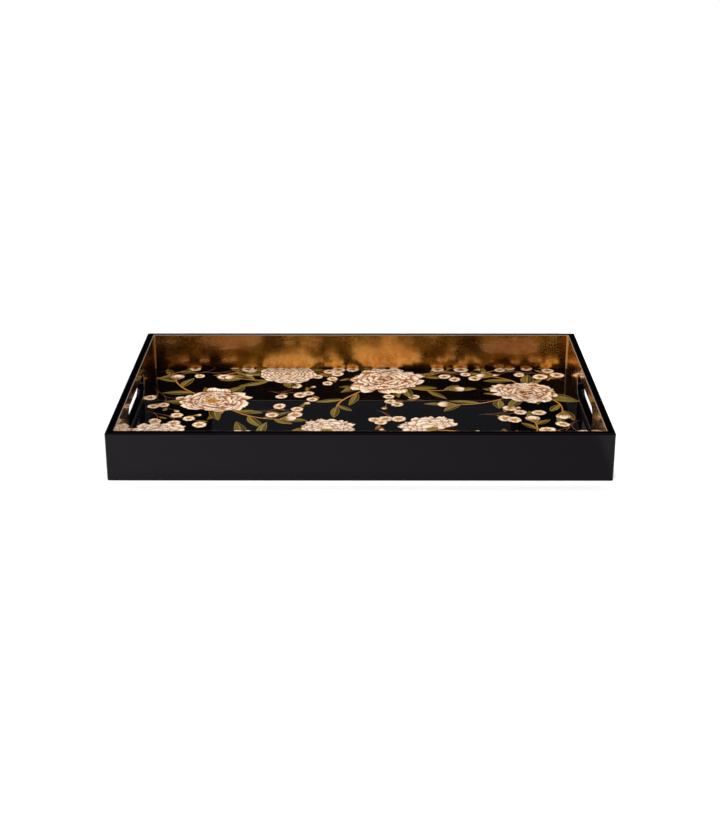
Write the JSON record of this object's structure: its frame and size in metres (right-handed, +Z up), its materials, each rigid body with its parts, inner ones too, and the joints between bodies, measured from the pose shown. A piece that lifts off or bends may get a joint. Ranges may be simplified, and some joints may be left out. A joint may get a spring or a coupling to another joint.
{
  "type": "serving tray",
  "caption": "Shallow rectangular serving tray with upright mitred walls, a rounded hand slot in each short end and a flat decorated floor.",
  "frame": {"origin": "middle of the tray's footprint, on the surface that it stands on", "axes": "+X along the long side, towards the right-hand end; +Y from the front board to the back board; +Z up out of the tray"},
  "size_m": [0.46, 0.29, 0.0463],
  "materials": {
    "black_lacquer": "satin black lacquer over fine board",
    "gold_leaf": "gold leaf under clear gloss lacquer, on the inner faces of the four boards",
    "painted_panel": "floral decoration on black under clear gloss lacquer",
    "base_board": "stained fibreboard",
    "felt": "black felt",
    "spline_wood": "raw hardwood"
  },
  "bodies": {
    "root": {"front_wall": "black_lacquer", "back_wall": "black_lacquer", "left_wall": "black_lacquer", "right_wall": "black_lacquer", "base_board": "base_board", "art_panel": "painted_panel", "underside_felt": "felt", "corner_splines": "spline_wood"}
  },
  "joints": []
}
